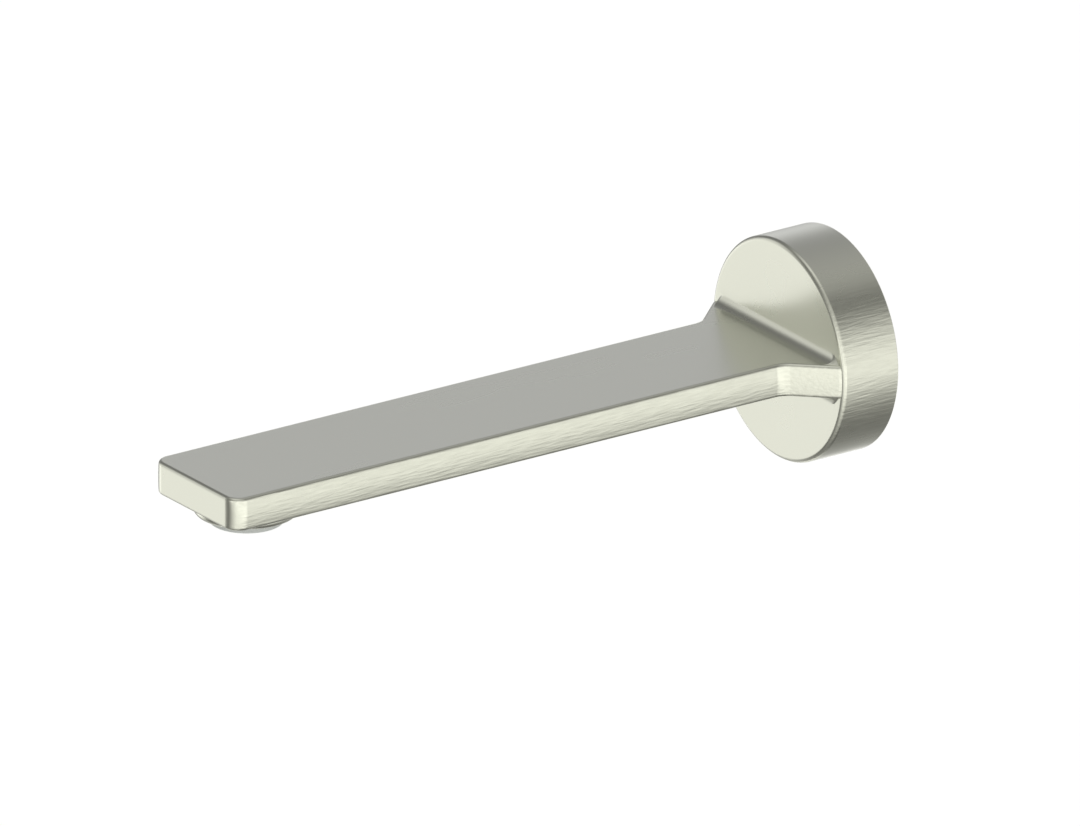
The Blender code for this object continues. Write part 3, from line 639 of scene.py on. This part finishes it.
collar_low, collar_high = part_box("outlet_collar")
COLLAR_RIM = collar_high.x
COLLAR_SHANK = 0.01325
COLLAR_BORE = 0.01175
COLLAR_EDGE = 0.0019
COLLAR_LIP = COLLAR_BORE - 0.0019
AERATOR_PITCH = 0.001
seat_z = collar_high.z - 0.0012
under_arm = -ARM_TOP - 0.00002
collar = made(
    "brazed_outlet_collar",
    lathe(
        [
            (COLLAR_BORE + 0.0003, collar_low.z),
            *round_corner((COLLAR_RIM - COLLAR_EDGE, collar_low.z + COLLAR_EDGE), COLLAR_EDGE, -90, 0, 14),
            (COLLAR_RIM, under_arm - 0.00005),
            (COLLAR_RIM - 0.00005, under_arm),
            (COLLAR_SHANK, under_arm),
            (COLLAR_SHANK, collar_high.z),
            (COLLAR_LIP, collar_high.z),
            (COLLAR_LIP, seat_z),
            (COLLAR_BORE, seat_z),
            (COLLAR_BORE, collar_low.z + 0.0003),
        ],
        160,
        at_outlet,
    ),
)
work(
    collar,
    "DIFFERENCE",
    thread_groove(COLLAR_BORE, -0.0005, AERATOR_PITCH, collar_low.z - 0.0008, seat_z - 0.0018, at_outlet, 72),
)
turned_nickel = finish(
    "turned nickel", ((0.883, 0.892, 0.811), (0.9, 0.909, 0.828)), 1.0, (0.26, 0.29), (90, 90, 5000), 0.0000004
)
fitted(collar, turned_nickel, "outlet_collar", "spout")


# ---- Aerator gasket ----
# A flat ring cut from rubber tube, which lies above the housing's thread. The housing is tightened against it
# to seal the outlet.

gasket_low, gasket_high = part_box("aerator_gasket")
gasket_outer = gasket_high.x
gasket_inner = gasket_outer - 0.0014
gasket_corner = 0.00022
gasket = lathe(
    [
        *round_corner((gasket_inner + gasket_corner, gasket_low.z + gasket_corner), gasket_corner, 180, 270, 5),
        *round_corner((gasket_outer - gasket_corner, gasket_low.z + gasket_corner), gasket_corner, -90, 0, 5),
        *round_corner((gasket_outer - gasket_corner, gasket_high.z - gasket_corner), gasket_corner, 0, 90, 5),
        *round_corner((gasket_inner + gasket_corner, gasket_high.z - gasket_corner), gasket_corner, 90, 180, 5),
    ],
    128,
    at_outlet,
)
fitted(made("cut_aerator_gasket", gasket), rubber, "aerator_gasket", "gasket")


# ---- Dome strainer ----
# A dome moulded in white acetal, snapped over the top of the aerator. Its thin radial slots catch grit before
# the water reaches the jets.

acetal = finish(
    "moulded acetal", ((0.72, 0.72, 0.69), (0.8, 0.8, 0.775)), 0.0, (0.34, 0.5), (900, 900, 900), 0.000004
)
strainer_low, strainer_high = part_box("dome_strainer")
strainer_base = strainer_low.z + 0.0009
DOME_WALL = 0.0008
DOME_EDGE = 0.00015
dome_outer = strainer_high.x - 0.0008
dome_inner = dome_outer - DOME_WALL
dome_rise = strainer_high.z - strainer_base
quarter_round = round_corner((0, 0), 1, 0, 90, 18)
outside = [(dome_outer * c, strainer_base + dome_rise * s) for c, s in quarter_round]
inside = [(dome_inner * c, strainer_base + (dome_rise - DOME_WALL) * s) for c, s in quarter_round]
strainer = made(
    "slotted_dome_strainer",
    lathe(
        [
            (dome_inner, strainer_low.z),
            (strainer_high.x - DOME_EDGE, strainer_low.z),
            (strainer_high.x, strainer_low.z + DOME_EDGE),
            (strainer_high.x, strainer_base - DOME_EDGE),
            (strainer_high.x - DOME_EDGE, strainer_base),
            *outside[:-1],
            (0, strainer_high.z),
            (0, strainer_high.z - DOME_WALL),
            *reversed(inside[:-1]),
        ],
        120,
        at_outlet,
    ),
)
SLOT_COUNT, SLOT_WIDTH, SLOT_HEIGHT = 24, 0.00048, 0.02
slots = bmesh.new()
for index in range(SLOT_COUNT):
    near, far = (0.0024, 0.0076) if index % 2 else (0.0046, 0.0076)
    size = Matrix.Diagonal((far - near, SLOT_WIDTH, SLOT_HEIGHT, 1))
    spin = Matrix.Rotation(math.tau * index / SLOT_COUNT, 4, "Z")
    middle = Matrix.Translation(((near + far) / 2, 0, strainer_base + SLOT_HEIGHT / 2 + 0.0003))
    bmesh.ops.create_cube(slots, size=1, matrix=at_outlet @ spin @ middle @ size)
work(strainer, "DIFFERENCE", slots)
fitted(strainer, acetal, "dome_strainer", "aerator", 28)


# ---- Jet plate ----
# A disc moulded in white acetal, which lies on the mixing sleeve inside the housing. Its two rings of small
# countersunk holes break the water into fast jets that draw air in.

jet_low, jet_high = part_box("jet_plate")
jet_edge = 0.00012
JET_DIMPLE = 0.0024
JET_COUNTERSINK = 0.00016
jets = made(
    "moulded_jet_plate",
    lathe(
        [
            (0, jet_low.z),
            (jet_high.x - jet_edge, jet_low.z),
            (jet_high.x, jet_low.z + jet_edge),
            (jet_high.x, jet_high.z - jet_edge),
            (jet_high.x - jet_edge, jet_high.z),
            (JET_DIMPLE, jet_high.z),
            (JET_DIMPLE - 0.0003, jet_high.z - 0.0002),
            (0, jet_high.z - 0.0002),
        ],
        120,
        at_outlet,
    ),
)
holes = bmesh.new()
for ring, count, hole in ((jet_high.x - 0.0024, 12, 0.0005), (jet_high.x - 0.0042, 12, 0.00038)):
    for index in range(count):
        turn = Matrix.Rotation(math.tau * (index + 0.5) / count, 4, "Z")
        at_hole = at_outlet @ turn @ Matrix.Translation((ring, 0, (jet_low.z + jet_high.z) / 2))
        bmesh.ops.create_cone(
            holes, cap_ends=True, segments=20, radius1=hole, radius2=hole + JET_COUNTERSINK, depth=0.002,
            matrix=at_hole,
        )
work(jets, "DIFFERENCE", holes)
fitted(jets, acetal, "jet_plate", "aerator")


# ---- Mixing sleeve ----
# A plain ring moulded in white acetal and pushed into the housing. It holds the jet plate clear of the screens,
# so that air and water can mix.

sleeve_low, sleeve_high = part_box("mixing_sleeve")
sleeve_outer, sleeve_inner, sleeve_edge = sleeve_high.x, sleeve_high.x - 0.0007, 0.00015
sleeve = lathe(
    [
        (sleeve_inner, sleeve_low.z + sleeve_edge),
        (sleeve_inner + sleeve_edge, sleeve_low.z),
        (sleeve_outer - sleeve_edge, sleeve_low.z),
        (sleeve_outer, sleeve_low.z + sleeve_edge),
        (sleeve_outer, sleeve_high.z - sleeve_edge),
        (sleeve_outer - sleeve_edge, sleeve_high.z),
        (sleeve_inner + sleeve_edge, sleeve_high.z),
        (sleeve_inner, sleeve_high.z - sleeve_edge),
    ],
    120,
    at_outlet,
)
fitted(made("moulded_mixing_sleeve", sleeve), acetal, "mixing_sleeve", "aerator")


# ---- Flow spreader ----
# A wheel moulded in white acetal, which drops into the housing above the screens. The cone on its hub throws the
# jets outwards.

wheel_low, wheel_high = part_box("flow_spreader")
wheel_outer, wheel_inner = wheel_high.x, wheel_high.x - 0.001
HUB_RADIUS = 0.0026
SPOKE_HALF_WIDTH = 0.00045
SPOKE_TOP = wheel_low.z + 0.0007
wheel = made(
    "moulded_flow_spreader",
    lathe(
        [
            (wheel_inner, wheel_low.z),
            (wheel_outer - 0.0001, wheel_low.z),
            (wheel_outer, wheel_low.z + 0.0001),
            (wheel_outer, wheel_high.z - 0.0001),
            (wheel_outer - 0.0001, wheel_high.z),
            (wheel_inner + 0.0002, wheel_high.z),
            (wheel_inner, wheel_high.z - 0.0002),
        ],
        120,
        at_outlet,
    ),
)
hub = lathe(
    [(0, wheel_low.z), (HUB_RADIUS, wheel_low.z), (HUB_RADIUS, wheel_low.z + 0.00015), (0, wheel_high.z - 0.00005)],
    64,
    at_outlet,
)
work(wheel, "UNION", hub)
for index in range(4):
    spoke = box_shape(
        (0.0009, -SPOKE_HALF_WIDTH, wheel_low.z + 0.0001), (wheel_inner + 0.0005, SPOKE_HALF_WIDTH, SPOKE_TOP)
    )
    tops = [e for e in spoke.edges if all(v.co.z > SPOKE_TOP - 0.0001 for v in e.verts)]
    bmesh.ops.bevel(spoke, geom=tops, offset=0.00015, affect="EDGES", segments=3, profile=0.5, material=-1)
    turn = at_outlet @ Matrix.Rotation(math.tau * index / 4, 4, "Z")
    bmesh.ops.transform(spoke, verts=spoke.verts, matrix=turn)
    work(wheel, "UNION", spoke)
fitted(wheel, acetal, "flow_spreader", "aerator")


# ---- Screens ----
# Two discs of plain woven stainless wire, their edges pressed into thin stamped rings. They slow the water and
# even it out.

wire = finish(
    "drawn wire", ((0.44, 0.44, 0.43), (0.6, 0.6, 0.59)), 1.0, (0.26, 0.42), (5000, 5000, 5000), 0.000001
)


def joined(*parts):
    """Several separate shapes as one bmesh."""
    bm = bmesh.new()
    for part in parts:
        mesh = bpy.data.meshes.new("part")
        part.to_mesh(mesh)
        part.free()
        bm.from_mesh(mesh)
        bpy.data.meshes.remove(mesh)
    return bm


def woven_disc(low, high, turned_by):
    """Plain weave inside a flat ring: each wire runs over one crossing wire and under the next."""
    rim, pitch = high.x, 0.0008
    ring_inner = rim - 0.0011
    thick = (high.z - low.z) / 4
    weave = bpy.data.curves.new("weave", "CURVE")
    weave.dimensions, weave.bevel_depth, weave.bevel_resolution, weave.use_fill_caps = "3D", thick * 0.98, 1, True
    reach = rim - 0.0006
    lines = int(reach / pitch)
    for crossing in (0, 1):
        for line in range(-lines, lines + 1):
            offset = line * pitch
            half = math.sqrt(reach**2 - offset**2)
            steps = max(4, int(8 * half / pitch))
            run = weave.splines.new("POLY")
            run.points.add(steps)
            for index, point in enumerate(run.points):
                along = half * (2 * index / steps - 1)
                side = 1 if (line + crossing) % 2 else -1
                lift = side * thick * math.cos(math.pi * along / pitch)
                x, y = (along, offset) if crossing else (offset, along)
                point.co = (x, y, lift, 1)
    woven = bpy.data.objects.new("weave", weave)
    bpy.context.scene.collection.objects.link(woven)
    woven_mesh = bpy.data.meshes.new_from_object(woven.evaluated_get(bpy.context.evaluated_depsgraph_get()))
    bpy.data.objects.remove(woven)
    bpy.data.curves.remove(weave)
    cloth = bmesh.new()
    cloth.from_mesh(woven_mesh)
    bpy.data.meshes.remove(woven_mesh)
    centre = at_outlet @ Matrix.Translation((0, 0, (low.z + high.z) / 2)) @ Matrix.Rotation(turned_by, 4, "Z")
    bmesh.ops.transform(cloth, verts=cloth.verts, matrix=centre)
    half_thick = (high.z - low.z) / 2
    ring = lathe(
        [
            (ring_inner, low.z + 0.00006),
            (rim - 0.00005, low.z),
            (rim, low.z + half_thick),
            (rim - 0.00005, high.z),
            (ring_inner, high.z - 0.00006),
        ],
        120,
        at_outlet,
    )
    return joined(cloth, ring)


for node, turned_by in (("upper_screen", 0.0), ("lower_screen", 0.7)):
    screen_low, screen_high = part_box(node)
    screen = made("woven_" + node, woven_disc(screen_low, screen_high, turned_by))
    fitted(screen, wire, node, "aerator")


# ---- Outlet grille ----
# A honeycomb disc moulded in grey nylon, which lies on the housing's lip under the screens. It lets the stream
# leave straight and soft.

nylon = finish(
    "moulded nylon", ((0.5, 0.52, 0.51), (0.6, 0.62, 0.61)), 0.0, (0.32, 0.46), (1100, 1100, 1100), 0.000005
)
grille_low, grille_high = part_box("outlet_grille")
grille = made(
    "honeycomb_outlet_grille",
    lathe(
        [
            (0, grille_low.z),
            (grille_high.x - 0.0001, grille_low.z),
            (grille_high.x, grille_low.z + 0.0001),
            (grille_high.x, grille_high.z),
            (0, grille_high.z),
        ],
        120,
        at_outlet,
    ),
)
cells = bmesh.new()
CELL_PITCH, CELL_WALL = 0.00188, 0.00042
cell_radius = (CELL_PITCH - CELL_WALL) / math.sqrt(3)
for column in range(-4, 5):
    for row in range(-4, 5):
        if abs(column + row) < 5:
            x, y = CELL_PITCH * (column + row / 2), CELL_PITCH * row * math.sqrt(3) / 2
            bmesh.ops.create_cone(
                cells, cap_ends=True, segments=6, radius1=cell_radius + 0.0001, radius2=cell_radius, depth=0.003,
                matrix=at_outlet @ Matrix.Translation((x, y, (grille_low.z + grille_high.z) / 2)),
            )
work(grille, "DIFFERENCE", cells)
fitted(grille, nylon, "outlet_grille", "aerator")


# ---- Aerator housing ----
# The moulded nylon barrel that carries the rest of the aerator. It is screwed into the collar, and the notches
# in its foot take a flat key.

housing_low, housing_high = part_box("aerator_housing")
HOUSING_THREAD = housing_high.x
HOUSING_FOOT = 0.0108
HOUSING_BORE = grille_high.x + 0.0003
HOUSING_LIP = HOUSING_BORE - 0.0009
HOUSING_LIP_TOP = housing_low.z + 0.00085
thread_foot = collar_low.z + 0.0003
housing = made(
    "moulded_aerator_housing",
    lathe(
        [
            (HOUSING_LIP + 0.0002, housing_low.z),
            *round_corner((HOUSING_FOOT - 0.0006, housing_low.z + 0.0006), 0.0006, -90, 0, 8),
            (HOUSING_FOOT, thread_foot - 0.0001),
            (HOUSING_FOOT + 0.0001, thread_foot),
            (HOUSING_THREAD - 0.0003, thread_foot),
            (HOUSING_THREAD, thread_foot + 0.0003),
            (HOUSING_THREAD, housing_high.z - 0.0003),
            (HOUSING_THREAD - 0.0003, housing_high.z),
            (HOUSING_BORE, housing_high.z),
            (HOUSING_BORE, HOUSING_LIP_TOP),
            (HOUSING_LIP, HOUSING_LIP_TOP),
            (HOUSING_LIP, housing_low.z + 0.0002),
        ],
        160,
        at_outlet,
    ),
)
work(
    housing,
    "DIFFERENCE",
    thread_groove(
        HOUSING_THREAD, 0.0004, AERATOR_PITCH, thread_foot + 0.0006, housing_high.z + 0.0006, at_outlet, 72
    ),
)
NOTCH_COUNT = 8
notches = bmesh.new()
for index in range(NOTCH_COUNT):
    turn = Matrix.Rotation(math.tau * (index + 0.5) / NOTCH_COUNT, 4, "Z")
    size = Matrix.Diagonal((0.0015, 0.0016, 0.0014, 1))
    middle = Matrix.Translation((HOUSING_LIP + 0.00045, 0, housing_low.z))
    bmesh.ops.create_cube(notches, size=1, matrix=at_outlet @ turn @ middle @ size)
work(housing, "DIFFERENCE", notches)
fitted(housing, nylon, "aerator_housing", "aerator")


# ---- Studio floor ----
# A plain pale sheet well below the spout, with a little glow of its own. It stays out of the nickel's
# reflections, which come from the tent alone.

FLOOR_HALF_SIZE, FLOOR_Z = 7, -0.9
sheet = bmesh.new()
bmesh.ops.create_grid(
    sheet, x_segments=1, y_segments=1, size=FLOOR_HALF_SIZE, matrix=Matrix.Translation((0, 0, FLOOR_Z))
)
floor = made("studio_floor", sheet)
pale = finish("pale floor", ((0.8, 0.8, 0.8), (0.82, 0.82, 0.82)), 0.0, (0.8, 0.9), (2, 2, 2), 0.0)
pale_shader = pale.node_tree.nodes["Principled BSDF"]
pale_shader.inputs["Emission Color"].default_value = (1, 1, 1, 1)
pale_shader.inputs["Emission Strength"].default_value = 0.7
floor.data.materials.append(pale)
floor.visible_glossy = False


# ---- Studio light ----
# A soft tent round the spout. Each entry is a wide soft panel, or where its strength is below nothing a grey
# flag: the way it faces from the spout as (azimuth, elevation) in degrees, how tight it is, and its strength.

TENT_LEVEL = -0.129
DARKEST = 0.05
WARM_LIGHT, COOL_LIGHT = (1, 1, 0.925), (1, 1, 1.025)
COOL_SIDE = (146, 10, 2.5)
PANELS = (
    (-156, -21, 14.2, 1.182),
    (-145, 13, 19.3, 0.607),
    (-137, -35, 61.3, -0.483),
    (-104, 76, 12.3, 0.639),
    (-79, -1, 84.7, 1.153),
    (-37, -11, 2.8, 1.065),
    (-8, -23, 50.1, 0.187),
    (20, -14, 15.1, 0.579),
    (8, -22, 30.0, 0.130),
    (-105, -21, 80.0, -0.090),
    (23, 9, 132.7, 0.400),
    (37, 43, 24.9, -0.334),
    (41, -63, 5.6, -0.294),
    (79, -1, 0.8, 0.652),
    (137, -25, 66.5, 1.700),
    (139, 5, 24.9, 0.636),
    (160, -58, 37.0, 0.958),
)


def direction(azimuth, elevation):
    """The way from the spout towards that azimuth and elevation in degrees."""
    a, e = math.radians(azimuth), math.radians(elevation)
    return (math.cos(e) * math.cos(a), math.cos(e) * math.sin(a), math.sin(e))


tent = bpy.data.worlds.new("light tent")
bpy.context.scene.world = tent
tent.use_nodes = True
tree = tent.node_tree
nodes, links = tree.nodes, tree.links
way = nodes.new("ShaderNodeTexCoord").outputs["Generated"]


def panel(azimuth, elevation, tightness):
    """How much a direction falls on a soft panel: 1 at its middle, fading smoothly round it."""
    facing = nodes.new("ShaderNodeVectorMath")
    facing.operation = "DOT_PRODUCT"
    links.new(way, facing.inputs[0])
    facing.inputs[1].default_value = direction(azimuth, elevation)
    fall = node_math(tree, "MULTIPLY_ADD", facing.outputs["Value"], tightness, -tightness)
    return node_math(tree, "EXPONENT", fall)


light = TENT_LEVEL
for azimuth, elevation, tightness, strength in PANELS:
    light = node_math(tree, "MULTIPLY_ADD", panel(azimuth, elevation, tightness), strength, light)
light = node_math(tree, "MAXIMUM", light, DARKEST)
hue = nodes.new("ShaderNodeMix")
hue.data_type = "RGBA"
hue.inputs["A"].default_value = (*WARM_LIGHT, 1)
hue.inputs["B"].default_value = (*COOL_LIGHT, 1)
links.new(panel(*COOL_SIDE), hue.inputs["Factor"])
lit = nodes.new("ShaderNodeVectorMath")
lit.operation = "SCALE"
links.new(hue.outputs["Result"], lit.inputs[0])
links.new(light, lit.inputs["Scale"])
backdrop = nodes.new("ShaderNodeMix")
backdrop.data_type = "RGBA"
backdrop.inputs["B"].default_value = (1, 1, 1, 1)
links.new(nodes.new("ShaderNodeLightPath").outputs["Is Camera Ray"], backdrop.inputs["Factor"])
links.new(lit.outputs["Vector"], backdrop.inputs["A"])
links.new(backdrop.outputs["Result"], nodes["Background"].inputs["Color"])
bpy.context.scene.view_settings.view_transform = "Standard"


# ---- Camera ----
# It looks at the spout from the front right and a little above. The edges along the arm stay parallel, as with a
# long lens from far off.

AZIMUTH, ELEVATION = math.radians(55.42), math.radians(21.33)
level = math.cos(ELEVATION)
towards = Vector((-math.sin(AZIMUTH) * level, math.cos(AZIMUTH) * level, -math.sin(ELEVATION)))
turned_to = towards.to_track_quat("-Z", "Y")
lens = bpy.data.cameras.new("catalogue camera")
lens.type = "ORTHO"
lens.ortho_scale = 0.3064
lens.clip_start, lens.clip_end = 0.01, 60
camera = bpy.data.objects.new("catalogue_camera", lens)
camera.rotation_mode = "QUATERNION"
camera.rotation_quaternion = turned_to
camera.location = turned_to @ Vector((-0.08309, -0.02187, 1.5))
bpy.context.scene.collection.objects.link(camera)
bpy.context.scene.camera = camera


bpy.context.view_layer.update()
